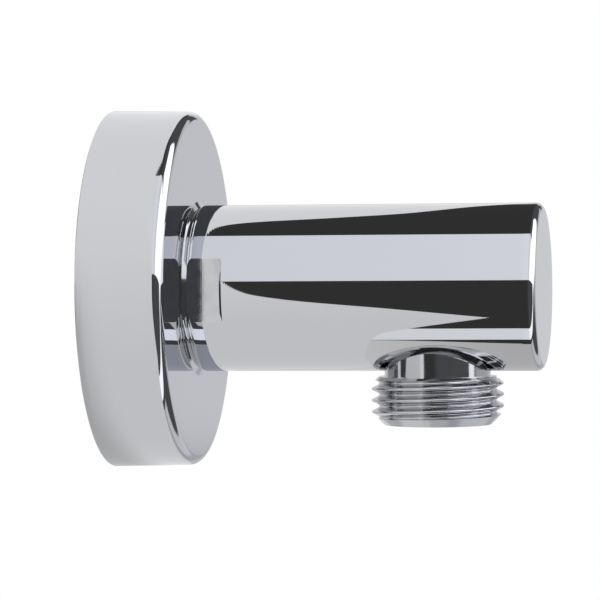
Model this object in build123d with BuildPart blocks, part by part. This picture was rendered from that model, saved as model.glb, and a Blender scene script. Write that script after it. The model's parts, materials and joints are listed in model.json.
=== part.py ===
from build123d import *
import os
from math import radians, tan

# Wall outlet elbow: a round arm on a wall flange, with a threaded hose nipple under its front end.
# Millimetres, +Z up. The wall is the plane X = 0, the arm's axis is X and the nipple points down.

# Parallel pipe thread of 1/2 inch, on the hose nipple and in the inlet socket
pipe_thread_d = 20.955
pipe_thread_core_d = 18.631

# Arm, turned from round bar
arm_d = 26.5
arm_reach = 69.0
arm_end_bevel = 0.7
shoulder_bevel_length = 0.85
shoulder_bevel_depth = 0.6
flats_across = 24.6
flats_length = 5.2

# Rear spigot of the arm, which carries the flange and holds the inlet socket
spigot_d = 23.4
spigot_setback = 1.5
spigot_chamfer = 0.5
socket_depth = 8.5
socket_chamfer = 1.2

# Waterway along the arm, and the port under its end
waterway_d = 13.0
drill_point_angle = 118.0
port_seat_land = 1.5
port_clearance = 0.05

# Outlet nipple
outlet_x = 52.0
outlet_drop = 21.7
nipple_neck_d = 16.8
nipple_bore_d = 12.0
nipple_shoulder_drop = 14.05
nipple_end_d = 16.9
nipple_bore_chamfer = 0.5

# Wall flange, pressed as a cup with a low hub around its hole
flange_depth = 13.6
flange_front_d = 56.5
flange_rear_d = 57.0
flange_wall = 1.2
flange_edge_round = 1.5
hub_d = 27.7
hub_height = 0.6
hub_land = 1.0
hub_clearance = 0.1

# Rubber ring of square section that keeps the flange against the arm's shoulder
ring_section = 2.0
ring_groove_depth = 0.9
ring_groove_play = 0.1
ring_clearance = 0.02

# Places that follow from the sizes above
arm_r = arm_d / 2
spigot_r = spigot_d / 2
waterway_r = waterway_d / 2
pipe_thread_r = pipe_thread_d / 2
pipe_thread_core_r = pipe_thread_core_d / 2
shoulder_x = flange_depth + hub_height
flange_back_x = flange_depth - flange_wall
hub_hole_r = spigot_r + hub_clearance
hub_top_r = hub_hole_r + hub_land
socket_end_x = spigot_setback + socket_depth
waterway_end_x = outlet_x + waterway_r
drill_point_length = waterway_r / tan(radians(drill_point_angle / 2))
port_seat_z = -(waterway_r + port_seat_land)
ring_groove_r = spigot_r - ring_groove_depth
ring_bore_r = ring_groove_r + ring_clearance
ring_x = flange_back_x - ring_clearance - ring_section / 2

# The nipple's half section is drawn about its own axis
nipple_plane = Plane(origin=(outlet_x, 0, 0), x_dir=(1, 0, 0), z_dir=(0, -1, 0))
nipple_axis = Axis((outlet_x, 0, 0), (0, 0, 1))

os.makedirs("parts", exist_ok=True)

# Arm body: bar with shoulder and spigot, crossed bores, spanner flats and ring groove
with BuildPart() as arm_body:
    with BuildSketch(Plane.XZ):
        with BuildLine():
            Polyline(
                (spigot_setback, 0),
                (spigot_setback, spigot_r - spigot_chamfer),
                (spigot_setback + spigot_chamfer, spigot_r),
                (shoulder_x, spigot_r),
                (shoulder_x, arm_r - shoulder_bevel_depth),
                (shoulder_x + shoulder_bevel_length, arm_r),
                (arm_reach, arm_r),
                (arm_reach, 0),
                close=True,
            )
        make_face()
    revolve(axis=Axis.X)
    chamfer(arm_body.edges().filter_by(GeomType.CIRCLE).sort_by(Axis.X)[-1], arm_end_bevel)

    # Inlet socket at thread root size, then the drilled waterway with its drill point
    with BuildSketch(Plane.XZ):
        with BuildLine():
            Polyline(
                (spigot_setback, 0),
                (spigot_setback, pipe_thread_core_r + socket_chamfer),
                (spigot_setback + socket_chamfer, pipe_thread_core_r),
                (socket_end_x, pipe_thread_core_r),
                (socket_end_x, waterway_r),
                (waterway_end_x, waterway_r),
                (waterway_end_x + drill_point_length, 0),
                close=True,
            )
        make_face()
    revolve(axis=Axis.X, mode=Mode.SUBTRACT)

    # Port for the nipple, with a seat land above it and a passage into the waterway
    with BuildSketch(Plane.XY.offset(port_seat_z)):
        with Locations((outlet_x, 0)):
            Circle(nipple_neck_d / 2 + port_clearance)
    extrude(amount=-arm_r, mode=Mode.SUBTRACT)
    with BuildSketch(Plane.XY.offset(port_seat_z)):
        with Locations((outlet_x, 0)):
            Circle(nipple_bore_d / 2)
    extrude(amount=-port_seat_z, mode=Mode.SUBTRACT)

    # Two milled flats for a spanner, in front of the shoulder
    with BuildSketch(Plane.YZ.offset(shoulder_x)):
        with GridLocations(flats_across + arm_d, 0, 2, 1):
            Rectangle(arm_d, arm_d)
    extrude(amount=flats_length, mode=Mode.SUBTRACT)

    # Groove for the rubber ring, behind the flange's front wall
    with BuildSketch(Plane.XZ):
        with Locations((ring_x, ring_groove_r)):
            Rectangle(
                ring_section + 2 * ring_groove_play,
                ring_section,
                align=(Align.CENTER, Align.MIN),
            )
    revolve(axis=Axis.X, mode=Mode.SUBTRACT)
arm_body.part.label = "arm_body"
export_step(arm_body.part, "parts/arm_body.step")

# Outlet nipple: neck seated in the port, plain cylinder at thread crest size and a lead chamfer
with BuildPart() as outlet_nipple:
    with BuildSketch(nipple_plane):
        with BuildLine():
            Polyline(
                (nipple_bore_d / 2, port_seat_z),
                (nipple_neck_d / 2, port_seat_z),
                (nipple_neck_d / 2, -nipple_shoulder_drop),
                (pipe_thread_core_r, -nipple_shoulder_drop),
                (pipe_thread_r, -nipple_shoulder_drop - pipe_thread_r + pipe_thread_core_r),
                (pipe_thread_r, -outlet_drop + pipe_thread_r - nipple_end_d / 2),
                (nipple_end_d / 2, -outlet_drop),
                (nipple_bore_d / 2 + nipple_bore_chamfer, -outlet_drop),
                (nipple_bore_d / 2, -outlet_drop + nipple_bore_chamfer),
                close=True,
            )
        make_face()
    revolve(axis=nipple_axis)
outlet_nipple.part.label = "outlet_nipple"
export_step(outlet_nipple.part, "parts/outlet_nipple.step")

# Wall flange: drafted cup of even wall, open to the wall, with a rounded edge and a coned hub
with BuildPart() as wall_flange:
    with BuildSketch(Plane.XZ):
        with BuildLine():
            Polyline(
                (0, flange_rear_d / 2 - flange_wall),
                (0, flange_rear_d / 2),
                (flange_depth, flange_front_d / 2),
                (flange_depth, hub_d / 2),
                (shoulder_x, hub_top_r),
                (shoulder_x, hub_hole_r),
                (flange_back_x, hub_hole_r),
                (flange_back_x, flange_front_d / 2 - flange_wall),
                close=True,
            )
        make_face()
    revolve(axis=Axis.X)
    face_edges = wall_flange.edges().filter_by(GeomType.CIRCLE).group_by(Axis.X)[-2]
    fillet(face_edges.sort_by(SortBy.RADIUS)[-1], flange_edge_round)
wall_flange.part.label = "wall_flange"
export_step(wall_flange.part, "parts/wall_flange.step")

# Rubber ring in the spigot's groove, against the back of the flange's front wall
with BuildPart() as flange_ring:
    with BuildSketch(Plane.XZ):
        with Locations((ring_x, ring_bore_r)):
            Rectangle(ring_section, ring_section, align=(Align.CENTER, Align.MIN))
    revolve(axis=Axis.X)
flange_ring.part.label = "flange_ring"
export_step(flange_ring.part, "parts/flange_ring.step")
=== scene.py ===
"""Wall outlet elbow: chromed arm, threaded hose nipple and wall flange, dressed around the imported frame."""

import json
import logging
import math
from dataclasses import dataclass
from enum import Enum
from typing import Callable, Iterable, Optional, Sequence, Union

import bmesh
import bpy
from mathutils import Matrix, Vector
from mathutils.geometry import interpolate_bezier


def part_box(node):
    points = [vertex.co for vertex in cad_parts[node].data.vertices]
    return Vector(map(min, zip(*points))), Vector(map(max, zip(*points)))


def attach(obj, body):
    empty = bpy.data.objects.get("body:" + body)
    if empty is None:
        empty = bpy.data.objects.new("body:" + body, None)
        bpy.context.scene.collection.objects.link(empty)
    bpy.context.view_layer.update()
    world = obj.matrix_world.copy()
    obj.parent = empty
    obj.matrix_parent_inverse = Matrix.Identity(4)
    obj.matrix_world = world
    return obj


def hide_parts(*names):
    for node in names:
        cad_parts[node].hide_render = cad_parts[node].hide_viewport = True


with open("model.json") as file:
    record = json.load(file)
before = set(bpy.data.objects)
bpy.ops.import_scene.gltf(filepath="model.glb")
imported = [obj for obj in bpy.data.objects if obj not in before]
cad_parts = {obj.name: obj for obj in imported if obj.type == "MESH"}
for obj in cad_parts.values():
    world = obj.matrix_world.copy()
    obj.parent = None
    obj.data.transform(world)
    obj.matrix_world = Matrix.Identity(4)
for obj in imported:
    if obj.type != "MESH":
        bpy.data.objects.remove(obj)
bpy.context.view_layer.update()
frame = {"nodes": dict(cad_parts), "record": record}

log = logging.getLogger("wall_outlet_elbow")

MM = 0.001
"""One millimetre in scene units. Every size below is in millimetres unless it says otherwise."""

PHOTO_WIDTH_PX = 600

WAVE_REPEAT = math.tau / 20.0
"""Distance after which Blender's wave texture repeats at a scale of 1."""

TAP_RELIEF = 0.1
"""How far the tap's roots lie inside the drilled socket, so that the drilled wall makes the crests."""

Point = tuple[float, float]
Span = tuple[float, float]
Place = tuple[float, float, float]
Colour = tuple[float, float, float]
Socket = bpy.types.NodeSocket
Sockets = bpy.types.NodeInputs
Number = Union[float, Socket]


class Axis(Enum):
    """The two axes that the pieces are turned about."""

    ARM = (1.0, 0.0, 0.0)
    NIPPLE = (0.0, 0.0, 1.0)

    @property
    def vector(self) -> Vector:
        """The axis as a unit vector."""
        return Vector(self.value)

    @property
    def outward(self) -> Vector:
        """The direction in which a half section is drawn before it is spun."""
        return Vector((0.0, 0.0, 1.0)) if self is Axis.ARM else Vector((1.0, 0.0, 0.0))


class Cut(Enum):
    """How a tool body works on a blank."""

    TAKE_AWAY = "DIFFERENCE"
    KEEP_COMMON = "INTERSECT"


# Half sections


class Outline:
    """A half section, drawn point by point as (along the axis, out from the axis) in millimetres."""

    def __init__(self, along: float, out: float) -> None:
        """Starts the outline.

        Args:
            along: Place along the axis.
            out: Distance from the axis.
        """
        self.points: list[Point] = [(along, out)]

    def line(self, along: float, out: float, parts: int = 1) -> "Outline":
        """Draws a straight run.

        Args:
            along: End of the run along the axis.
            out: End of the run out from the axis.
            parts: Number of equal lengths that the run is divided into.

        Returns:
            The outline itself.
        """
        start = Vector(self.points[-1])
        end = Vector((along, out))
        for step in range(1, parts + 1):
            self.points.append(tuple(start.lerp(end, step / parts)))
        return self

    def arc(
        self, along: float, out: float, radius: float, start: float, end: float, parts: int = 8
    ) -> "Outline":
        """Draws a round stretch that begins at the last point.

        Args:
            along: Centre of the arc along the axis.
            out: Centre of the arc out from the axis.
            radius: Radius of the arc.
            start: First angle in degrees, from the axis direction towards the outside.
            end: Last angle in degrees.
            parts: Number of chords.

        Returns:
            The outline itself.
        """
        for step in range(1, parts + 1):
            angle = math.radians(start + (end - start) * step / parts)
            self.points.append((along + radius * math.cos(angle), out + radius * math.sin(angle)))
        return self

    def bend(self, corner: Point, after: Point, radius: float, parts: int = 6) -> "Outline":
        """Draws a straight run towards a corner and rounds it.

        Args:
            corner: The corner.
            after: The corner that follows, which gives the direction behind the bend.
            radius: Radius of the bend.
            parts: Number of chords.

        Returns:
            The outline itself.
        """
        tip = Vector(corner)
        come = (Vector(self.points[-1]) - tip).normalized()
        go = (Vector(after) - tip).normalized()
        half = come.angle(go) / 2
        centre = tip + (come + go).normalized() * radius / math.sin(half)
        first = tip + come * radius / math.tan(half) - centre
        last = tip + go * radius / math.tan(half) - centre
        for step in range(parts + 1):
            self.points.append(tuple(centre + first.slerp(last, step / parts).normalized() * radius))
        return self


# Mesh tools


def section_geometry(
    mesh: bmesh.types.BMesh, outline: Outline, axis: Axis, origin: Vector, closed: bool
) -> list:
    """Adds a half section's vertices and edges to a mesh.

    Args:
        mesh: The mesh to add to.
        outline: The half section.
        axis: The axis that it is drawn about.
        origin: A point of that axis, in millimetres.
        closed: Whether the last point joins the first one.

    Returns:
        The new vertices and edges.
    """
    places = (origin + axis.vector * along + axis.outward * out for along, out in outline.points)
    verts = [mesh.verts.new(place * MM) for place in places]
    pairs = list(zip(verts, verts[1:]))
    if closed:
        pairs.append((verts[-1], verts[0]))
    return verts + [mesh.edges.new(pair) for pair in pairs]


def tidy_shell(mesh: bmesh.types.BMesh, weld: float = 0.0005, sliver: float = 0.00005) -> None:
    """Welds doubles and points every face outwards.

    Args:
        mesh: A closed mesh.
        weld: Distance under which vertices become one, in millimetres.
        sliver: Length under which an edge is dissolved, in millimetres.
    """
    bmesh.ops.remove_doubles(mesh, verts=mesh.verts[:], dist=weld * MM)
    bmesh.ops.dissolve_degenerate(mesh, edges=mesh.edges[:], dist=sliver * MM)
    bmesh.ops.recalc_face_normals(mesh, faces=mesh.faces[:])


def turned(
    outline: Outline, axis: Axis, origin: Vector, segments: int, closed: bool = False
) -> bmesh.types.BMesh:
    """Spins a half section into a turned body.

    Args:
        outline: The half section; an open one begins and ends on the axis.
        axis: The axis to spin about.
        origin: A point of that axis, in millimetres.
        segments: Steps in one turn.
        closed: Whether the section is a closed ring off the axis.

    Returns:
        The body's mesh.
    """
    mesh = bmesh.new()
    geometry = section_geometry(mesh, outline, axis, origin, closed)
    bmesh.ops.spin(
        mesh,
        geom=geometry,
        cent=origin * MM,
        axis=axis.vector,
        angle=math.tau,
        steps=segments,
        use_merge=True,
    )
    tidy_shell(mesh)
    return mesh


def block(low: Vector, high: Vector) -> bmesh.types.BMesh:
    """Makes a plain cutter block between two corners, in millimetres.

    Args:
        low: Lowest corner.
        high: Highest corner.

    Returns:
        The block's mesh.
    """
    mesh = bmesh.new()
    size = Matrix.Diagonal(((high - low) * MM).to_4d())
    bmesh.ops.create_cube(mesh, size=1.0, matrix=Matrix.Translation((low + high) * MM / 2) @ size)
    return mesh


def mesh_object(mesh: bmesh.types.BMesh, name: str) -> bpy.types.Object:
    """Turns a bmesh into an object of the scene and frees it.

    Args:
        mesh: The mesh.
        name: The object's name.

    Returns:
        The new object, at the origin.
    """
    data = bpy.data.meshes.new(name)
    mesh.to_mesh(data)
    mesh.free()
    made = bpy.data.objects.new(name, data)
    bpy.context.scene.collection.objects.link(made)
    return made


def machined(blank: bmesh.types.BMesh, tool: bmesh.types.BMesh, cut: Cut) -> bmesh.types.BMesh:
    """Works a blank with a tool body.

    Args:
        blank: The body that is worked. It is freed.
        tool: The tool body. It is freed.
        cut: Whether the tool's volume is taken away or kept.

    Returns:
        The worked body's mesh.
    """
    work = mesh_object(blank, "work")
    cutter = mesh_object(tool, "cutter")
    step = work.modifiers.new("cut", "BOOLEAN")
    step.operation = cut.value
    step.solver = "EXACT"
    step.object = cutter
    bpy.context.view_layer.update()
    evaluated = work.evaluated_get(bpy.context.evaluated_depsgraph_get())
    data = bpy.data.meshes.new_from_object(evaluated)
    result = bmesh.new()
    result.from_mesh(data)
    bpy.data.meshes.remove(data)
    for used in (work, cutter):
        bpy.data.meshes.remove(used.data)
    tidy_shell(result)
    return result


# Pipe thread


@dataclass(frozen=True)
class PipeThread:
    """The parallel pipe thread of 1/2 inch: rounded crests and roots, flanks at 55 degrees, right hand."""

    crest_r: float
    core_r: float
    pitch: float = 1.814
    round_share: float = 0.137329
    flank_angle: float = 27.5
    steps_per_turn: int = 120
    round_parts: int = 4
    tolerance: float = 0.001

    def form(self, start: float) -> Outline:
        """Draws one pitch of the thread, from the middle of a root to the middle of the next.

        Args:
            start: Place of the first root along the axis.

        Returns:
            The thread form.
        """
        radius = self.round_share * self.pitch
        top = 90.0 - self.flank_angle
        root_out = self.core_r + radius
        crest_out = self.crest_r - radius
        middle = start + self.pitch / 2
        end = start + self.pitch
        slope = math.radians(self.flank_angle)
        reach = radius * math.cos(slope)
        rise = radius * math.sin(slope)
        outline = Outline(start, self.core_r)
        outline.arc(start, root_out, radius, -90, -90 + top, self.round_parts)
        outline.line(middle - reach, crest_out + rise)
        outline.arc(middle, crest_out, radius, 90 + top, 90 - top, 2 * self.round_parts)
        outline.line(end - reach, root_out - rise)
        outline.arc(end, root_out, radius, -90 - top, -90, self.round_parts)
        return outline

    def rod(self, axis: Axis, origin: Vector, root: float, low: float, high: float) -> bmesh.types.BMesh:
        """Makes a threaded rod with flat ends.

        Args:
            axis: The rod's axis.
            origin: A point of that axis, in millimetres.
            root: Place of a thread root along the axis, on the side that sections are drawn on.
            low: Lower end along the axis.
            high: Upper end along the axis.

        Returns:
            The rod's closed mesh.
        """
        first = root + self.pitch * (math.floor((low - root) / self.pitch) - 1)
        turns = math.ceil((high - first) / self.pitch) + 1
        mesh = bmesh.new()
        geometry = section_geometry(mesh, self.form(first), axis, origin, closed=False)
        bmesh.ops.spin(
            mesh,
            geom=geometry,
            cent=origin * MM,
            axis=axis.vector,
            dvec=axis.vector * self.pitch / self.steps_per_turn * MM,
            angle=math.tau * turns,
            steps=self.steps_per_turn * turns,
        )
        bmesh.ops.remove_doubles(mesh, verts=mesh.verts[:], dist=self.tolerance * MM)
        for place, towards in ((low, -1.0), (high, 1.0)):
            bmesh.ops.bisect_plane(
                mesh,
                geom=mesh.verts[:] + mesh.edges[:] + mesh.faces[:],
                plane_co=(origin + axis.vector * place) * MM,
                plane_no=axis.vector * towards,
                clear_outer=True,
            )
            open_edges = [edge for edge in mesh.edges if edge.is_boundary]
            rim = [edge for edge in open_edges if self.lies_at(edge, axis, origin, place)]
            bmesh.ops.contextual_create(mesh, geom=rim)
        tidy_shell(mesh)
        return mesh

    def lies_at(self, edge: bmesh.types.BMEdge, axis: Axis, origin: Vector, place: float) -> bool:
        """Tells whether an edge lies in a rod's end plane."""
        along = [(vert.co / MM - origin).dot(axis.vector) for vert in edge.verts]
        return all(abs(end - place) < self.tolerance for end in along)


# Node helpers


class NodeSheet:
    """A node tree with short words for the nodes that the finishes and the studio use."""

    def __init__(self, tree: bpy.types.NodeTree) -> None:
        """Takes over a node tree and empties it.

        Args:
            tree: The tree of a material or of the world.
        """
        self.tree = tree
        tree.nodes.clear()

    def node(self, kind: str, **settings: object) -> bpy.types.Node:
        """Adds a node.

        Args:
            kind: The node's type.
            settings: Properties to set on it.

        Returns:
            The node.
        """
        made = self.tree.nodes.new(kind)
        for name, value in settings.items():
            setattr(made, name, value)
        return made

    def feed(self, socket: Socket, value: object) -> None:
        """Links a socket to another one, or sets its value."""
        if isinstance(value, Socket):
            self.tree.links.new(value, socket)
        else:
            socket.default_value = value

    def maths(self, operation: str, *terms: Number) -> Socket:
        """Adds one step of arithmetic.

        Args:
            operation: Blender's name of the operation.
            terms: Its inputs, sockets or numbers.

        Returns:
            The result.
        """
        made = self.node("ShaderNodeMath", operation=operation)
        for socket, term in zip(made.inputs, terms):
            self.feed(socket, term)
        return made.outputs[0]

    def ramp(
        self, value: Number, low: float, high: float, start: float = 0.0, end: float = 1.0
    ) -> Socket:
        """Maps a value smoothly from one range to another.

        Args:
            value: The value.
            low: Value at which the ramp begins.
            high: Value at which it ends.
            start: Result at the beginning.
            end: Result at the end.

        Returns:
            The mapped value, clamped to the two results.
        """
        made = self.node("ShaderNodeMapRange", interpolation_type="SMOOTHSTEP", clamp=True)
        names = ("Value", "From Min", "From Max", "To Min", "To Max")
        for name, term in zip(names, (value, low, high, start, end)):
            self.feed(made.inputs[name], term)
        return made.outputs["Result"]

    def band(self, value: Number, low: float, high: float, soft: float) -> Socket:
        """Gives 1 between two values and 0 outside, with soft edges.

        Args:
            value: The value.
            low: Lower edge.
            high: Upper edge.
            soft: Width of each edge.

        Returns:
            The share.
        """
        rise = self.ramp(value, low - soft / 2, low + soft / 2)
        fall = self.ramp(value, high - soft / 2, high + soft / 2, 1.0, 0.0)
        return self.maths("MULTIPLY", rise, fall)

    def mix(self, share: Number, first: Number, second: Number) -> Socket:
        """Blends two numbers.

        Args:
            share: Share of the second one.
            first: First number.
            second: Second number.

        Returns:
            The blend.
        """
        made = self.node("ShaderNodeMix", data_type="FLOAT")
        # Inputs 2 and 3 of a Mix node take its numbers
        for socket, term in zip(made.inputs[:1] + made.inputs[2:4], (share, first, second)):
            self.feed(socket, term)
        return made.outputs[0]

    def blend_colours(self, share: Number, first: Colour, second: Colour) -> Socket:
        """Blends two colours.

        Args:
            share: Share of the second one.
            first: First colour.
            second: Second colour.

        Returns:
            The blend.
        """
        made = self.node("ShaderNodeMix", data_type="RGBA")
        # Inputs 6 and 7 of a Mix node take its colours, and output 2 gives the blend
        self.feed(made.inputs[0], share)
        self.feed(made.inputs[6], (*first, 1.0))
        self.feed(made.inputs[7], (*second, 1.0))
        return made.outputs[2]


# Finishes


@dataclass(frozen=True)
class Finish:
    """A surface whose tint varies slightly. Lengths are in millimetres."""

    name: str
    tint: Colour
    tint_patch: Colour
    roughness: float

    def material(self) -> bpy.types.Material:
        """Builds the material.

        Returns:
            A procedural material on Object coordinates.
        """
        made = bpy.data.materials.new(self.name)
        made.use_nodes = True
        sheet = NodeSheet(made.node_tree)
        place = sheet.node("ShaderNodeTexCoord").outputs["Object"]
        shader = sheet.node("ShaderNodeBsdfPrincipled")
        self.dress(sheet, place, shader.inputs)
        sheet.feed(sheet.node("ShaderNodeOutputMaterial").inputs["Surface"], shader.outputs[0])
        return made

    def dress(self, sheet: NodeSheet, place: Socket, surface: Sockets) -> None:
        """Sets the surface's tint, polish and relief. Each kind of finish has its own way.

        Args:
            sheet: The node sheet.
            place: The coordinates.
            surface: The shader's inputs.
        """
        raise NotImplementedError

    @staticmethod
    def noise(sheet: NodeSheet, place: Socket, size: float, detail: float) -> Socket:
        """Adds a cloudy pattern.

        Args:
            sheet: The node sheet.
            place: The coordinates.
            size: Size of its patches.
            detail: Octaves of finer detail.

        Returns:
            The pattern, about 0 to 1.
        """
        made = sheet.node("ShaderNodeTexNoise")
        sheet.feed(made.inputs["Vector"], place)
        made.inputs["Scale"].default_value = 1.0 / (size * MM)
        made.inputs["Detail"].default_value = detail
        return made.outputs[0]

    @staticmethod
    def bump(sheet: NodeSheet, height: Socket, depth: float, under: Optional[Socket] = None) -> Socket:
        """Adds relief.

        Args:
            sheet: The node sheet.
            height: The relief's height, 0 to 1.
            depth: Its depth.
            under: Relief that it lies on.

        Returns:
            The bumped normal.
        """
        made = sheet.node("ShaderNodeBump")
        made.inputs["Strength"].default_value = 1.0
        made.inputs["Distance"].default_value = depth * MM
        sheet.feed(made.inputs["Height"], height)
        if under is not None:
            sheet.feed(made.inputs["Normal"], under)
        return made.outputs["Normal"]


@dataclass(frozen=True)
class MetalFinish(Finish):
    """A metal surface with slight patches of tint and polish, and marks of its making in relief.

    Marks are fine lines across one axis, as a lathe or a mill leaves them.
    """

    roughness_patch: float
    patch_size: float
    ripple_size: float
    ripple_depth: float
    mark_axis: str = "X"
    mark_pitch: float = 0.0
    mark_depth: float = 0.0
    mark_wander: float = 0.0
    patch_span: Span = (0.3, 0.7)
    patch_detail: float = 4.0
    ripple_detail: float = 2.0
    mark_detail: float = 3.0
    mark_detail_scale: float = 2.0

    def dress(self, sheet: NodeSheet, place: Socket, surface: Sockets) -> None:
        """Sets patches of tint and polish, ripples and, given a depth, tool lines.

        Args:
            sheet: The node sheet.
            place: The coordinates.
            surface: The shader's inputs.
        """
        sheet.feed(surface["Metallic"], 1.0)
        patches = self.noise(sheet, place, self.patch_size, self.patch_detail)
        sheet.feed(surface["Base Color"], sheet.blend_colours(patches, self.tint, self.tint_patch))
        polish = sheet.ramp(patches, *self.patch_span, self.roughness, self.roughness_patch)
        sheet.feed(surface["Roughness"], polish)
        relief = self.noise(sheet, place, self.ripple_size, self.ripple_detail)
        normal = self.bump(sheet, relief, self.ripple_depth)
        if self.mark_depth:
            normal = self.bump(sheet, self.marks(sheet, place), self.mark_depth, normal)
        sheet.feed(surface["Normal"], normal)

    def marks(self, sheet: NodeSheet, place: Socket) -> Socket:
        """Adds the tool lines.

        Args:
            sheet: The node sheet.
            place: The coordinates.

        Returns:
            The lines' height, 0 to 1.
        """
        made = sheet.node("ShaderNodeTexWave", wave_type="BANDS", bands_direction=self.mark_axis)
        sheet.feed(made.inputs["Vector"], place)
        made.inputs["Scale"].default_value = WAVE_REPEAT / (self.mark_pitch * MM)
        made.inputs["Distortion"].default_value = self.mark_wander
        made.inputs["Detail"].default_value = self.mark_detail
        made.inputs["Detail Scale"].default_value = self.mark_detail_scale
        return made.outputs["Fac"]


@dataclass(frozen=True)
class MattFinish(Finish):
    """A matt surface such as rubber or paper. Its fine grain shows in tint and, given a depth, in relief."""

    grain_size: float
    grain_detail: float
    grain_depth: float = 0.0

    def dress(self, sheet: NodeSheet, place: Socket, surface: Sockets) -> None:
        """Sets an even roughness, the grain's tint and, given a depth, its relief.

        Args:
            sheet: The node sheet.
            place: The coordinates.
            surface: The shader's inputs.
        """
        sheet.feed(surface["Roughness"], self.roughness)
        grain = self.noise(sheet, place, self.grain_size, self.grain_detail)
        sheet.feed(surface["Base Color"], sheet.blend_colours(grain, self.tint, self.tint_patch))
        if self.grain_depth:
            sheet.feed(surface["Normal"], self.bump(sheet, grain, self.grain_depth))


POLISHED_CHROME = MetalFinish(
    name="polished_chrome",
    tint=(0.6, 0.6, 0.615),
    tint_patch=(0.615, 0.615, 0.63),
    roughness=0.012,
    roughness_patch=0.02,
    patch_size=9.0,
    ripple_size=2.4,
    ripple_depth=0.0001,
    mark_pitch=0.35,
    mark_depth=0.00012,
    mark_wander=0.2,
)
FLANGE_CHROME = MetalFinish(
    name="flange_chrome",
    tint=(0.6, 0.6, 0.615),
    tint_patch=(0.615, 0.615, 0.63),
    roughness=0.03,
    roughness_patch=0.05,
    patch_size=14.0,
    ripple_size=3.5,
    ripple_depth=0.0002,
)
TURNED_CHROME = MetalFinish(
    name="turned_chrome",
    tint=(0.58, 0.58, 0.595),
    tint_patch=(0.62, 0.62, 0.635),
    roughness=0.05,
    roughness_patch=0.1,
    patch_size=3.0,
    ripple_size=1.2,
    ripple_depth=0.0002,
    mark_axis="Z",
    mark_pitch=0.22,
    mark_depth=0.0015,
    mark_wander=0.3,
)
THREADED_CHROME = MetalFinish(
    name="threaded_chrome",
    tint=(0.56, 0.56, 0.575),
    tint_patch=(0.6, 0.6, 0.615),
    roughness=0.08,
    roughness_patch=0.13,
    patch_size=1.5,
    ripple_size=0.5,
    ripple_depth=0.0006,
    mark_axis="Z",
    mark_pitch=0.15,
    mark_depth=0.001,
    mark_wander=0.8,
)
MILLED_CHROME = MetalFinish(
    name="milled_chrome",
    tint=(0.58, 0.58, 0.595),
    tint_patch=(0.62, 0.62, 0.63),
    roughness=0.06,
    roughness_patch=0.12,
    patch_size=1.6,
    ripple_size=1.0,
    ripple_depth=0.0003,
    mark_pitch=0.3,
    mark_depth=0.0006,
    mark_wander=0.6,
)
BARE_BRASS = MetalFinish(
    name="bare_brass",
    tint=(0.60, 0.46, 0.24),
    tint_patch=(0.52, 0.40, 0.22),
    roughness=0.22,
    roughness_patch=0.34,
    patch_size=4.0,
    ripple_size=0.8,
    ripple_depth=0.001,
    mark_axis="X",
    mark_pitch=0.25,
    mark_depth=0.003,
    mark_wander=0.4,
)
BLACK_RUBBER = MattFinish(
    name="black_rubber",
    tint=(0.022, 0.022, 0.024),
    tint_patch=(0.05, 0.05, 0.05),
    roughness=0.55,
    grain_size=0.5,
    grain_detail=6.0,
    grain_depth=0.02,
)
PALE_PAPER = MattFinish(
    name="pale_paper",
    tint=(0.96, 0.96, 0.96),
    tint_patch=(0.98, 0.98, 0.98),
    roughness=0.9,
    grain_size=3.0,
    grain_detail=3.0,
)


# The object's pieces


FaceTest = Callable[[Vector, Vector], bool]
"""Tells from a face's centre, in millimetres, and its normal whether the face has a finish."""


@dataclass
class Piece:
    """One finished piece of the object, with its finishes and its place in the frame."""

    name: str
    node: str
    slot: str
    finishes: Sequence[Finish]
    tests: Sequence[FaceTest] = ()
    sharp_angle: float = 30.0

    def place(self, mesh: bmesh.types.BMesh) -> bpy.types.Object:
        """Makes the object, dresses it and sets it in the frame.

        Args:
            mesh: The piece's mesh. It is freed.

        Returns:
            The finished piece.
        """
        made = mesh_object(mesh, self.name)
        for finish in self.finishes:
            made.data.materials.append(finish.material())
        for face in made.data.polygons:
            face.use_smooth = True
            for index, test in enumerate(self.tests, start=1):
                if test(face.center / MM, face.normal):
                    face.material_index = index
        made.data.set_sharp_from_angle(angle=math.radians(self.sharp_angle))
        even = made.modifiers.new("even_reflections", "WEIGHTED_NORMAL")
        even.keep_sharp = True
        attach(made, "root")
        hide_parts(self.node)
        log.info("%s: %d faces", self.name, len(made.data.polygons))
        return made


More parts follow.
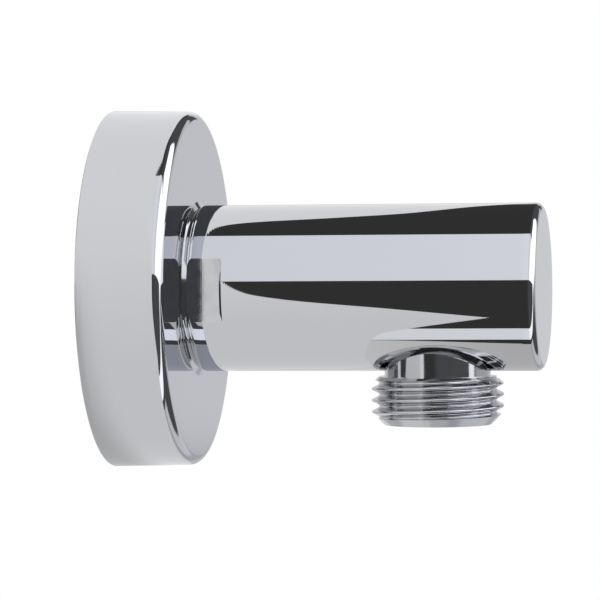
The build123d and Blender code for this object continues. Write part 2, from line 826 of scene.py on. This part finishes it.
@dataclass
class Arm:
    """The turned arm: round bar with shoulder, spigot, spanner flats, inlet socket, waterway and port."""

    thread: PipeThread
    outlet_x: float
    diameter: float = 26.5
    end_bevel: float = 0.7
    end_softness: float = 1.1
    shoulder_x: float = 14.2
    bevel_length: float = 0.85
    rear_round: float = 1.1
    flats_across: float = 24.6
    flats_length: float = 5.2
    flats_edge: float = 0.4
    spigot_d: float = 23.4
    spigot_chamfer: float = 0.5
    groove_start: float = 10.28
    groove_end: float = 12.48
    groove_d: float = 21.6
    socket_depth: float = 8.5
    socket_chamfer: float = 1.2
    socket_relief: float = 1.0
    waterway_d: float = 13.0
    drill_point_angle: float = 118.0
    port_d: float = 16.9
    port_seat_z: float = -8.0
    passage_d: float = 12.0
    bore_wall: float = 0.2
    bore_start: float = 0.02
    plane_tolerance: float = 0.01
    square_on: float = 0.999
    segments: int = 288

    def __post_init__(self) -> None:
        """Takes the two ends of the arm from the frame."""
        low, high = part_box("arm_body")
        self.rear_x = low.x / MM
        self.end_x = high.x / MM

    def section(self) -> Outline:
        """Draws the half section, from the middle of the end face round to the drill point.

        Returns:
            The outline.
        """
        arm_r = self.diameter / 2
        spigot_r = self.spigot_d / 2
        groove_r = self.groove_d / 2
        core_r = self.thread.core_r
        water_r = self.waterway_d / 2
        socket_end = self.rear_x + self.socket_depth
        water_end = self.outlet_x + water_r
        point = water_r / math.tan(math.radians(self.drill_point_angle / 2))
        outline = Outline(self.end_x, 0.0)
        end_low = (self.end_x, arm_r - self.end_bevel)
        end_high = (self.end_x - self.end_bevel, arm_r)
        rear_high = (self.shoulder_x + self.bevel_length, arm_r)
        rear_turn = math.degrees(math.asin(self.bevel_length / self.rear_round))
        outline.bend(end_low, end_high, self.end_softness)
        outline.bend(end_high, rear_high, self.end_softness)
        outline.line(rear_high[0] + self.bevel_length, arm_r, parts=40)
        rear_centre = (rear_high[0], arm_r - self.rear_round)
        outline.arc(*rear_centre, self.rear_round, 90, 90 + rear_turn, parts=14)
        outline.line(self.shoulder_x, spigot_r)
        outline.line(self.groove_end, spigot_r)
        outline.line(self.groove_end, groove_r)
        outline.line(self.groove_start, groove_r)
        outline.line(self.groove_start, spigot_r)
        outline.line(self.rear_x + self.spigot_chamfer, spigot_r, parts=6)
        outline.line(self.rear_x, spigot_r - self.spigot_chamfer)
        outline.line(self.rear_x, core_r + self.socket_chamfer)
        outline.line(self.rear_x + self.socket_chamfer, core_r)
        outline.line(socket_end, core_r, parts=4)
        outline.line(socket_end, water_r)
        outline.line(water_end, water_r, parts=30)
        outline.line(water_end + point, 0.0)
        return outline

    def build(self) -> bpy.types.Object:
        """Turns, threads, mills and drills the arm, and dresses it.

        Returns:
            The finished arm.
        """
        origin = Vector()
        body = turned(self.section(), Axis.ARM, origin, self.segments)
        socket_end = self.rear_x + self.socket_depth - self.socket_relief
        tap = self.thread.rod(Axis.ARM, origin, self.rear_x, self.rear_x - self.thread.pitch, socket_end)
        body = machined(body, tap, Cut.TAKE_AWAY)
        for tool in self.cutters():
            body = machined(body, tool, Cut.TAKE_AWAY)
        piece = Piece(
            name="arm",
            node="arm_body",
            slot="polished_chrome",
            finishes=(POLISHED_CHROME, MILLED_CHROME, BARE_BRASS),
            tests=(self.is_flat, self.is_bore),
        )
        return piece.place(body)

    def cutters(self) -> Iterable[bmesh.types.BMesh]:
        """Gives the tools: a mill block for each flat, a cutter that breaks its end edge, and two drills.

        Yields:
            Tool bodies.
        """
        flat_y = self.flats_across / 2
        reach = self.diameter
        start = self.shoulder_x - self.bevel_length
        end = self.shoulder_x + self.flats_length
        arm_r = self.diameter / 2
        for side in (-1, 1):
            low, high = sorted((side * flat_y, side * reach))
            yield block(Vector((start, low, -reach)), Vector((end, high, reach)))
            wedge = Outline(end, arm_r - self.flats_edge).line(end + self.flats_edge, arm_r).line(end, reach)
            ring = turned(wedge, Axis.ARM, Vector(), self.segments, closed=True)
            window = block(Vector((start, low, -reach)), Vector((end + reach, high, reach)))
            yield machined(ring, window, Cut.KEEP_COMMON)
        centre = Vector((self.outlet_x, 0.0, 0.0))
        for diameter, top in ((self.port_d, self.port_seat_z), (self.passage_d, 0.0)):
            drill = Outline(-reach, 0.0).line(-reach, diameter / 2)
            drill.line(top, diameter / 2, parts=12).line(top, 0.0)
            yield turned(drill, Axis.NIPPLE, centre, self.segments // 2)

    def is_flat(self, centre: Vector, normal: Vector) -> bool:
        """Tells whether a face belongs to a spanner flat."""
        on_plane = abs(abs(centre.y) - self.flats_across / 2) < self.plane_tolerance
        return on_plane and abs(normal.y) > self.square_on

    def is_bore(self, centre: Vector, normal: Vector) -> bool:
        """Tells whether a face lies in the socket, the waterway or the port."""
        near_axis = math.hypot(centre.y, centre.z) < self.groove_d / 2 - self.bore_wall
        return near_axis and self.rear_x + self.bore_start < centre.x < self.end_x - self.bore_wall


@dataclass
class Nipple:
    """The turned hose nipple: neck, threaded end with a lead chamfer, and a bore right through."""

    thread: PipeThread
    outlet_x: float
    neck_d: float = 16.8
    bore_d: float = 12.0
    shoulder_z: float = -14.05
    end_d: float = 16.9
    bore_chamfer: float = 0.5
    crest_z: float = -15.15
    spare: float = 0.3
    die_overrun: float = 1.0
    tolerance: float = 0.01
    segments: int = 240

    def __post_init__(self) -> None:
        """Takes the two ends of the nipple from the frame."""
        low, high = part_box("outlet_nipple")
        self.end_z = low.z / MM
        self.top_z = high.z / MM

    def blank(self) -> Outline:
        """Draws the blank before its thread is cut, a little wider than the crests.

        Returns:
            The closed half section.
        """
        neck_r = self.neck_d / 2
        bore_r = self.bore_d / 2
        end_r = self.end_d / 2
        core_r = self.thread.core_r
        blank_r = self.thread.crest_r + self.spare
        outline = Outline(self.top_z, bore_r)
        outline.line(self.top_z, neck_r)
        outline.line(self.shoulder_z, neck_r, parts=24)
        outline.line(self.shoulder_z, core_r)
        outline.line(self.shoulder_z - (blank_r - core_r), blank_r)
        outline.line(self.end_z + (blank_r - end_r), blank_r)
        outline.line(self.end_z, end_r, parts=6)
        outline.line(self.end_z, bore_r + self.bore_chamfer)
        outline.line(self.end_z + self.bore_chamfer, bore_r)
        return outline

    def build(self) -> bpy.types.Object:
        """Turns the blank, cuts its thread and dresses it.

        Returns:
            The finished nipple.
        """
        centre = Vector((self.outlet_x, 0.0, 0.0))
        body = turned(self.blank(), Axis.NIPPLE, centre, self.segments, closed=True)
        root = self.crest_z - self.thread.pitch / 2
        low = self.end_z - self.die_overrun
        die = self.thread.rod(Axis.NIPPLE, centre, root, low, self.top_z + self.die_overrun)
        body = machined(body, die, Cut.KEEP_COMMON)
        piece = Piece(
            name="hose_nipple",
            node="outlet_nipple",
            slot="turned_chrome",
            finishes=(TURNED_CHROME, THREADED_CHROME, BARE_BRASS),
            tests=(self.is_thread, self.is_bore),
        )
        return piece.place(body)

    def is_thread(self, centre: Vector, normal: Vector) -> bool:
        """Tells whether a face belongs to the threaded end or its lead chamfer."""
        return centre.z < self.shoulder_z + self.tolerance

    def is_bore(self, centre: Vector, normal: Vector) -> bool:
        """Tells whether a face lies in the bore."""
        return math.hypot(centre.x - self.outlet_x, centre.y) < self.bore_d / 2 + self.tolerance


@dataclass
class Flange:
    """The pressed wall flange: drafted cup with a rounded edge and a low coned hub around its hole."""

    depth: float = 13.6
    front_d: float = 56.5
    rear_d: float = 57.0
    wall: float = 1.2
    edge_round: float = 1.5
    rear_round: float = 0.3
    hub_d: float = 27.7
    hub_height: float = 0.6
    hub_land: float = 1.0
    hub_foot_round: float = 0.3
    hub_softness: float = 0.05
    hole_d: float = 23.6
    segments: int = 360

    def section(self) -> Outline:
        """Draws the closed half section.

        Returns:
            The outline.
        """
        front_r = self.front_d / 2
        rear_r = self.rear_d / 2
        hub_r = self.hub_d / 2
        back_x = self.depth - self.wall
        top_x = self.depth + self.hub_height
        draft = math.degrees(math.atan2(rear_r - front_r, self.depth))
        inner_round = self.edge_round - self.wall
        corner_r = front_r - self.edge_round * (1 - math.tan(math.radians(draft / 2)))
        corner_x = self.depth - self.edge_round
        outline = Outline(0.0, rear_r - self.wall)
        outline.line(corner_x, corner_r + inner_round, parts=10)
        outline.arc(corner_x, corner_r, inner_round, 90, 0, parts=4)
        outline.line(back_x, self.hole_d / 2, parts=6)
        outline.line(top_x, self.hole_d / 2, parts=2)
        hub_low = (top_x, self.hole_d / 2 + self.hub_land)
        hub_foot = (self.depth, hub_r)
        outline.bend(hub_low, hub_foot, self.hub_softness)
        outline.bend(hub_foot, (self.depth, corner_r), self.hub_foot_round, parts=8)
        outline.line(self.depth, corner_r, parts=10)
        outline.arc(corner_x, corner_r, self.edge_round, 0, 90 - draft, parts=14)
        outline.line(self.rear_round, rear_r, parts=12)
        rear_centre = (self.rear_round, rear_r - self.rear_round)
        outline.arc(*rear_centre, self.rear_round, 90, 180, parts=5)
        return outline

    def build(self) -> bpy.types.Object:
        """Spins the cup and dresses it.

        Returns:
            The finished flange.
        """
        body = turned(self.section(), Axis.ARM, Vector(), self.segments, closed=True)
        piece = Piece(name="flange", node="wall_flange", slot="flange_chrome", finishes=(FLANGE_CHROME,))
        return piece.place(body)


@dataclass
class RetainingRing:
    """The rubber ring behind the flange's front wall, kept as the frame has it."""

    node: str = "flange_ring"

    def dress(self) -> bpy.types.Object:
        """Gives the ring its rubber.

        Returns:
            The ring's object.
        """
        ring = frame["nodes"][self.node]
        ring.data.materials.clear()
        ring.data.materials.append(BLACK_RUBBER.material())
        log.info("%s: rubber", self.node)
        return ring


# The studio


@dataclass(frozen=True)
class PhotoCamera:
    """The camera at the photograph's viewing angle. Angles are in degrees."""

    turn: float = 10.242
    rise: float = 1.521
    roll: float = -0.501
    distance: float = 558.8
    target: Place = (29.963, 0.0, -1.945)
    focal_px: float = 3508.07
    sensor: float = 36.0
    sight: Span = (10.0, 10000.0)

    def build(self) -> bpy.types.Object:
        """Makes the camera and gives it to the scene.

        Returns:
            The camera.
        """
        data = bpy.data.cameras.new("photo_camera")
        data.sensor_width = self.sensor
        data.lens = self.focal_px * self.sensor / PHOTO_WIDTH_PX
        data.clip_start, data.clip_end = (limit * MM for limit in self.sight)
        made = bpy.data.objects.new("photo_camera", data)
        bpy.context.scene.collection.objects.link(made)
        turn = Matrix.Rotation(math.radians(self.turn), 4, "Z")
        look = Matrix.Rotation(math.radians(90.0 - self.rise), 4, "X")
        tilt = Matrix.Rotation(math.radians(self.roll), 4, "Z")
        back = Matrix.Translation((0.0, 0.0, self.distance * MM))
        made.matrix_world = Matrix.Translation(Vector(self.target) * MM) @ turn @ look @ back @ tilt
        bpy.context.scene.camera = made
        return made


@dataclass(frozen=True)
class Cloth:
    """A white cloth of the tent, bent round the arm's axis and glowing softly. Only reflections show it.

    Its front edge runs through stations: height angle about the arm in degrees, distance from the arm's
    axis, and place along the arm.
    """

    name: str
    edge: Sequence[Place]
    rear_x: float = -220.0
    fade_height: float = 130.0
    low_level: float = 0.84
    high_level: float = 1.0
    tint: Colour = (0.99, 1.0, 1.01)
    shade: float = 0.3
    shade_x: Span = (-24.0, -16.0)
    shade_height: float = 60.0
    parts: int = 12

    def build(self) -> bpy.types.Object:
        """Hangs the cloth.

        Returns:
            The cloth.
        """
        mesh = bmesh.new()
        hem = [mesh.verts.new(self.spot(*place)) for place in self.smooth_edge()]
        threads = [mesh.edges.new(pair) for pair in zip(hem, hem[1:])]
        for drawn in bmesh.ops.extrude_edge_only(mesh, edges=threads)["geom"]:
            if isinstance(drawn, bmesh.types.BMVert):
                drawn.co.x = self.rear_x * MM
        made = mesh_object(mesh, self.name)
        made.data.materials.append(self.material())
        made.visible_camera = False
        made.visible_diffuse = False
        made.visible_shadow = False
        made.visible_transmission = False
        return made

    def smooth_edge(self) -> list[Vector]:
        """Runs a smooth curve through the stations, with handles of a sixth of the way between neighbours.

        Returns:
            Points of the edge, in the stations' terms.
        """
        stations = [Vector(place) for place in self.edge]
        padded = [2 * stations[0] - stations[1], *stations, 2 * stations[-1] - stations[-2]]
        curve = stations[:1]
        for before, start, end, after in zip(padded, padded[1:], padded[2:], padded[3:]):
            leave = start + (end - before) / 6
            arrive = end - (after - start) / 6
            curve += interpolate_bezier(start, leave, arrive, end, self.parts + 1)[1:]
        return curve

    @staticmethod
    def spot(height: float, distance: float, along: float) -> Vector:
        """Gives a point of the cloth in scene units.

        Args:
            height: Angle about the arm's axis, from the camera side up over the top.
            distance: Distance from that axis.
            along: Place along the arm.

        Returns:
            The point.
        """
        turn = math.radians(height)
        return Vector((along, -distance * math.cos(turn), distance * math.sin(turn))) * MM

    def material(self) -> bpy.types.Material:
        """Builds the glow, a little brighter towards the top and darker low down near the wall.

        Returns:
            The material.
        """
        made = bpy.data.materials.new(self.name)
        made.use_nodes = True
        made.cycles.emission_sampling = "NONE"
        sheet = NodeSheet(made.node_tree)
        way = sheet.node("ShaderNodeSeparateXYZ")
        sheet.feed(way.inputs[0], sheet.node("ShaderNodeTexCoord").outputs["Object"])
        along, up = (sheet.maths("DIVIDE", way.outputs[part], MM) for part in ("X", "Z"))
        level = sheet.ramp(up, -self.fade_height, self.fade_height, self.low_level, self.high_level)
        near_wall = sheet.ramp(along, *self.shade_x, self.shade, 0.0)
        low_down = sheet.ramp(up, -self.shade_height, self.shade_height, 1.0, 0.0)
        kept = sheet.maths("SUBTRACT", 1.0, sheet.maths("MULTIPLY", near_wall, low_down))
        glow = sheet.node("ShaderNodeEmission")
        sheet.feed(glow.inputs["Color"], (*self.tint, 1.0))
        sheet.feed(glow.inputs["Strength"], sheet.maths("MULTIPLY", level, kept))
        sheet.feed(sheet.node("ShaderNodeOutputMaterial").inputs["Surface"], glow.outputs[0])
        return made


@dataclass(frozen=True)
class View:
    """The angles of a direction seen from the object, in degrees.

    Lean is the angle towards the wall side, -X. Height is the angle about the arm, from the camera side up
    over the top. Swing is the angle about the upright axis, from straight behind the object towards the
    arm's end. Rise is the angle above the horizon.
    """

    lean: Number
    height: Number
    swing: Number
    rise: Number

    @classmethod
    def of_world(cls, sheet: NodeSheet) -> "View":
        """Works the angles out from the world's coordinates.

        Args:
            sheet: The world's node sheet.

        Returns:
            The angles.
        """
        way = sheet.node("ShaderNodeSeparateXYZ")
        sheet.feed(way.inputs[0], sheet.node("ShaderNodeTexCoord").outputs["Generated"])
        x, y, z = way.outputs[:3]
        front = sheet.maths("MULTIPLY", y, -1.0)
        left = sheet.maths("MULTIPLY", x, -1.0)
        return cls(
            lean=sheet.maths("DEGREES", sheet.maths("ARCSINE", left)),
            height=sheet.maths("DEGREES", sheet.maths("ARCTAN2", z, front)),
            swing=sheet.maths("DEGREES", sheet.maths("ARCTAN2", x, y)),
            rise=sheet.maths("DEGREES", sheet.maths("ARCSINE", z)),
        )


@dataclass(frozen=True)
class BackWall:
    """The white wall behind the object, duller towards the right and with a bright post on the left.

    Its top edge lies at an angle about the arm.
    """

    level: float = 0.91
    face_level: float = 0.7
    right_level: float = 0.52
    left_level: float = 0.78
    post_level: float = 1.4
    face_swings: Span = (2.0, 12.0)
    right_swings: Span = (12.0, 40.0)
    left_swings: Span = (-58.0, -28.0)
    post_swings: Span = (-75.0, -63.0)
    post_edge: float = 4.0
    top: float = 158.0
    top_right: float = 175.0
    top_end: float = 160.0
    top_right_swings: Span = (8.5, 11.0)
    top_end_swings: Span = (15.0, 18.0)
    top_edge: float = 1.5

    def paint(self, sheet: NodeSheet, view: View, level: Number) -> Socket:
        """Lays the wall over what is there.

        Args:
            sheet: The world's node sheet.
            view: The direction's angles.
            level: The level without the wall.

        Returns:
            The level with it.
        """
        wall = sheet.ramp(view.swing, *self.face_swings, self.level, self.face_level)
        right = sheet.ramp(view.swing, *self.right_swings, self.face_level, self.right_level)
        wall = sheet.maths("MINIMUM", wall, right)
        wall = sheet.mix(sheet.ramp(view.swing, *self.left_swings, 1.0, 0.0), wall, self.left_level)
        wall = sheet.mix(sheet.band(view.swing, *self.post_swings, self.post_edge), wall, self.post_level)
        top = sheet.ramp(view.swing, *self.top_right_swings, self.top, self.top_right)
        top = sheet.mix(sheet.ramp(view.swing, *self.top_end_swings), top, self.top_end)
        past_top = sheet.maths("SUBTRACT", sheet.maths("ABSOLUTE", view.height), top)
        return sheet.mix(sheet.ramp(past_top, -self.top_edge, self.top_edge), level, wall)


@dataclass(frozen=True)
class Table:
    """The pale table under the object, from its front edge back to the wall. It ends on the right."""

    left_level: float = 0.78
    right_level: float = 0.62
    side_level: float = 0.5
    end_level: float = 0.75
    left_leans: Span = (6.5, 9.5)
    side_leans: Span = (-11.0, -4.0)
    end_leans: Span = (-20.0, -14.0)
    limit_leans: Span = (-36.0, -31.0)
    front_left: float = -76.0
    front_right: float = -83.5
    front_leans: Span = (6.0, 9.2)
    front_edge: float = 0.25
    far_heights: Span = (-177.0, -173.0)

    def paint(self, sheet: NodeSheet, view: View, level: Number) -> Socket:
        """Lays the table over what is there.

        Args:
            sheet: The world's node sheet.
            view: The direction's angles.
            level: The level without the table.

        Returns:
            The level with it.
        """
        table = sheet.ramp(view.lean, *self.left_leans, self.right_level, self.left_level)
        table = sheet.mix(sheet.ramp(view.lean, *self.side_leans, 1.0, 0.0), table, self.side_level)
        table = sheet.mix(sheet.ramp(view.lean, *self.end_leans, 1.0, 0.0), table, self.end_level)
        front = sheet.ramp(view.lean, *self.front_leans, self.front_right, self.front_left)
        before_front = sheet.maths("SUBTRACT", view.height, front)
        share = sheet.ramp(before_front, -self.front_edge, self.front_edge, 1.0, 0.0)
        share = sheet.maths("MULTIPLY", share, sheet.ramp(view.height, *self.far_heights))
        share = sheet.maths("MULTIPLY", share, sheet.ramp(view.lean, *self.limit_leans))
        return sheet.mix(share, level, table)


@dataclass(frozen=True)
class StripLights:
    """Two long soft lights along the arm, a broad one above and a narrow one below."""

    broad_heights: Span = (10.4, 78.5)
    broad_left_level: float = 0.98
    broad_level: float = 1.1
    broad_right_level: float = 0.92
    broad_left_leans: Span = (0.0, 13.0)
    broad_right_leans: Span = (-12.0, 0.0)
    narrow_heights: Span = (-75.5, -57.3)
    narrow_start_leans: Span = (9.1, 9.5)
    narrow_left_level: float = 1.0
    narrow_right_level: float = 1.5
    narrow_leans: Span = (-12.0, 9.0)
    edge: float = 0.25

    def broad(self, sheet: NodeSheet, view: View) -> Socket:
        """Gives the broad light's share of a direction."""
        return sheet.band(view.height, *self.broad_heights, self.edge)

    def narrow(self, sheet: NodeSheet, view: View) -> Socket:
        """Gives the narrow light's share of a direction."""
        started = sheet.ramp(view.lean, *self.narrow_start_leans, 1.0, 0.0)
        return sheet.maths("MULTIPLY", sheet.band(view.height, *self.narrow_heights, self.edge), started)

    def paint(self, sheet: NodeSheet, view: View, level: Number) -> Socket:
        """Lays both lights over what is there.

        Args:
            sheet: The world's node sheet.
            view: The direction's angles.
            level: The level without them.

        Returns:
            The level with them.
        """
        broad = sheet.ramp(view.lean, *self.broad_left_leans, self.broad_level, self.broad_left_level)
        on_right = sheet.ramp(view.lean, *self.broad_right_leans, 1.0, 0.0)
        broad = sheet.mix(on_right, broad, self.broad_right_level)
        narrow = sheet.ramp(view.lean, *self.narrow_leans, self.narrow_right_level, self.narrow_left_level)
        level = sheet.mix(self.broad(sheet, view), level, broad)
        return sheet.mix(self.narrow(sheet, view), level, narrow)


@dataclass(frozen=True)
class SidePanel:
    """The white panel beyond the arm's end: an upright sheet, and a bright end of the broad strip light."""

    low_level: float = 0.9
    high_level: float = 1.8
    level_rises: Span = (-12.0, 10.0)
    strip_leans: Span = (-27.0, -25.0)
    far_swings: Span = (86.0, 45.0)
    far_rises: Span = (-2.0, 7.0)
    far_edge: float = 2.0
    near_swings: Span = (98.0, 102.0)
    rises: Span = (-14.0, 62.0)
    rise_edge: float = 4.0

    def paint(self, sheet: NodeSheet, view: View, level: Number, strip: Number) -> Socket:
        """Lays the panel over what is there.

        Args:
            sheet: The world's node sheet.
            view: The direction's angles.
            level: The level without the panel.
            strip: The broad strip light's share.

        Returns:
            The level with it.
        """
        strip_end = sheet.maths("MULTIPLY", strip, sheet.ramp(view.lean, *self.strip_leans, 1.0, 0.0))
        far_side = sheet.ramp(view.rise, *self.far_rises, *self.far_swings)
        past_far_side = sheet.maths("SUBTRACT", view.swing, far_side)
        upright = sheet.ramp(past_far_side, -self.far_edge, self.far_edge)
        upright = sheet.maths("MULTIPLY", upright, sheet.ramp(view.swing, *self.near_swings, 1.0, 0.0))
        upright = sheet.maths("MULTIPLY", upright, sheet.band(view.rise, *self.rises, self.rise_edge))
        panel = sheet.ramp(view.rise, *self.level_rises, self.low_level, self.high_level)
        return sheet.mix(sheet.maths("MAXIMUM", strip_end, upright), level, panel)


@dataclass(frozen=True)
class Room:
    """What the chrome reflects beyond the tent, by direction.

    Levels are light strengths. Leans, heights, swings and rises are spans of the view's angles.
    """

    wall: BackWall = BackWall()
    table: Table = Table()
    strips: StripLights = StripLights()
    panel: SidePanel = SidePanel()
    dark_left: float = 0.045
    dark_right: float = 0.09
    dark_leans: Span = (-12.0, 4.0)
    cool_tint: Colour = (0.95, 1.0, 1.13)
    strip_coolness: float = 0.4
    right_leans: Span = (-10.0, 0.0)
    cool_leans: Span = (-15.5, -10.5)
    cool_edge: float = 1.0
    wall_heights: Span = (170.0, 174.0)
    even_level: float = 0.85

    def build(self, scene: bpy.types.Scene) -> None:
        """Sets up the world: white to the camera, even to soft surfaces, and the room to the chrome.

        Args:
            scene: The scene.
        """
        scene.world = bpy.data.worlds.new("room")
        scene.world.use_nodes = True
        sheet = NodeSheet(scene.world.node_tree)
        paths = sheet.node("ShaderNodeLightPath").outputs
        view = View.of_world(sheet)
        level = sheet.ramp(view.lean, *self.dark_leans, self.dark_right, self.dark_left)
        level = self.wall.paint(sheet, view, level)
        level = self.table.paint(sheet, view, level)
        level = self.strips.paint(sheet, view, level)
        level = self.panel.paint(sheet, view, level, self.strips.broad(sheet, view))
        level = sheet.mix(paths["Is Glossy Ray"], self.even_level, level)
        seen = sheet.maths("MAXIMUM", paths["Is Camera Ray"], paths["Is Transmission Ray"])
        level = sheet.mix(seen, level, 1.0)
        cool = sheet.maths("MULTIPLY", self.coolness(sheet, view), paths["Is Glossy Ray"])
        background = sheet.node("ShaderNodeBackground")
        tint = sheet.blend_colours(cool, (1.0, 1.0, 1.0), self.cool_tint)
        sheet.feed(background.inputs["Color"], tint)
        sheet.feed(background.inputs["Strength"], level)
        sheet.feed(sheet.node("ShaderNodeOutputWorld").inputs["Surface"], background.outputs[0])

    def coolness(self, sheet: NodeSheet, view: View) -> Socket:
        """Works out where the light is bluish: in the strips, on the right, and most between wall and panel.

        Args:
            sheet: The world's node sheet.
            view: The direction's angles.

        Returns:
            The share of the cool tint.
        """
        strips = sheet.maths("MAXIMUM", self.strips.broad(sheet, view), self.strips.narrow(sheet, view))
        bluish = sheet.maths("MAXIMUM", strips, sheet.ramp(view.lean, *self.right_leans, 1.0, 0.0))
        bluish = sheet.maths("MULTIPLY", bluish, self.strip_coolness)
        off_wall = sheet.ramp(sheet.maths("ABSOLUTE", view.height), *self.wall_heights, 1.0, 0.0)
        beside = sheet.maths("MULTIPLY", sheet.band(view.lean, *self.cool_leans, self.cool_edge), off_wall)
        return sheet.maths("MAXIMUM", bluish, beside)


@dataclass(frozen=True)
class Studio:
    """A white tent on the wall side, a dark room with strip lights, a pale floor and a soft lamp."""

    camera: PhotoCamera = PhotoCamera()
    room: Room = Room()
    cloths: Sequence[Cloth] = (
        Cloth(
            name="upper_cloth",
            edge=(
                (-39.0, 130.0, 47.0),
                (-27.0, 130.0, 29.0),
                (-13.0, 130.0, 7.0),
                (2.0, 130.0, -2.0),
                (40.0, 130.0, -8.0),
                (76.0, 130.0, -8.0),
                (97.0, 130.0, -3.0),
                (110.0, 160.0, 11.0),
                (122.0, 200.0, 20.0),
                (145.0, 280.0, 23.5),
                (165.0, 320.0, 34.0),
            ),
        ),
        Cloth(
            name="lower_cloth",
            edge=(
                (-39.0, 130.0, 47.0),
                (-54.0, 130.0, 32.0),
                (-66.0, 130.0, 25.0),
                (-100.0, 130.0, 22.0),
                (-140.0, 130.0, 20.0),
                (-152.0, 130.0, -4.0),
                (-172.0, 130.0, -6.0),
            ),
        ),
    )
    floor_drop: float = 120.0
    floor_reach: float = 300.0
    lamp_place: Place = (-500.0, -700.0, 900.0)
    lamp_size: tuple[float, float] = (800.0, 600.0)
    lamp_watts: float = 6.0

    def build(self) -> None:
        """Sets up the view, the room, the tent, the floor and the lamp."""
        scene = bpy.context.scene
        scene.view_settings.view_transform = "Standard"
        self.camera.build()
        self.room.build(scene)
        for cloth in self.cloths:
            cloth.build()
        self.floor()
        self.lamp()

    def floor(self) -> bpy.types.Object:
        """Makes the pale floor, below the view.

        Returns:
            The floor.
        """
        mesh = bmesh.new()
        level = Matrix.Translation((0.0, 0.0, -self.floor_drop * MM))
        bmesh.ops.create_grid(mesh, x_segments=2, y_segments=2, size=self.floor_reach * MM, matrix=level)
        made = mesh_object(mesh, "floor")
        made.data.materials.append(PALE_PAPER.material())
        made.visible_glossy = False
        return made

    def lamp(self) -> bpy.types.Object:
        """Adds one large soft lamp over the camera's left shoulder.

        Returns:
            The lamp.
        """
        data = bpy.data.lights.new("soft_lamp", "AREA")
        data.shape = "RECTANGLE"
        data.size, data.size_y = (side * MM for side in self.lamp_size)
        data.energy = self.lamp_watts
        made = bpy.data.objects.new("soft_lamp", data)
        bpy.context.scene.collection.objects.link(made)
        place = Vector(self.lamp_place) * MM
        made.matrix_world = Matrix.Translation(place) @ place.to_track_quat("Z", "Y").to_matrix().to_4x4()
        made.visible_glossy = False
        return made


def main() -> None:
    """Builds the pieces and the studio in order."""
    logging.basicConfig(level=logging.INFO, format="%(message)s")
    mounts = {mount["name"]: mount for mount in frame["record"]["mounts"]}
    crest_r = mounts["outlet_thread"]["dims"]["r_mm"]
    core_r = mounts["inlet_socket"]["dims"]["r_mm"]
    outlet_x = mounts["outlet_thread"]["pos_m"][0] / MM
    Studio().build()
    socket_thread = PipeThread(crest_r=crest_r, core_r=core_r - TAP_RELIEF)
    Arm(thread=socket_thread, outlet_x=outlet_x).build()
    Nipple(thread=PipeThread(crest_r=crest_r, core_r=core_r), outlet_x=outlet_x).build()
    Flange().build()
    RetainingRing().dress()


if __name__ == "__main__":
    main()
